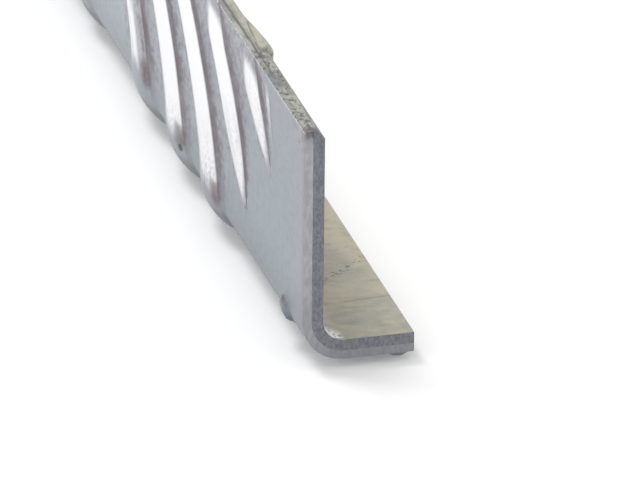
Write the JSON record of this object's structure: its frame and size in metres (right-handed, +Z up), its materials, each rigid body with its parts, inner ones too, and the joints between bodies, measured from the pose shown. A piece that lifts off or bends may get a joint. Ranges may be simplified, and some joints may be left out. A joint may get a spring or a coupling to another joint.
{
  "type": "ribbed edge angle",
  "caption": "Unequal metal edge angle: a plain inner angle bonded inside an outer one with slanted raised ribs, as a straight cut length.",
  "frame": {"origin": "middle of the footprint, on the surface that the lowest ribs rest on", "axes": "+Z up along the tall leg; +Y along the length, away from the near cut end; +X from the leg towards the flange's free edge"},
  "size_m": [0.0178, 0.25, 0.0373],
  "materials": {
    "rolled_zinc": "rolled, worn bright on the rib crests",
    "dull_zinc": "dull and weathered"
  },
  "bodies": {
    "root": {"ribbed_outer_angle": "rolled_zinc", "inner_angle": "dull_zinc"}
  },
  "joints": []
}
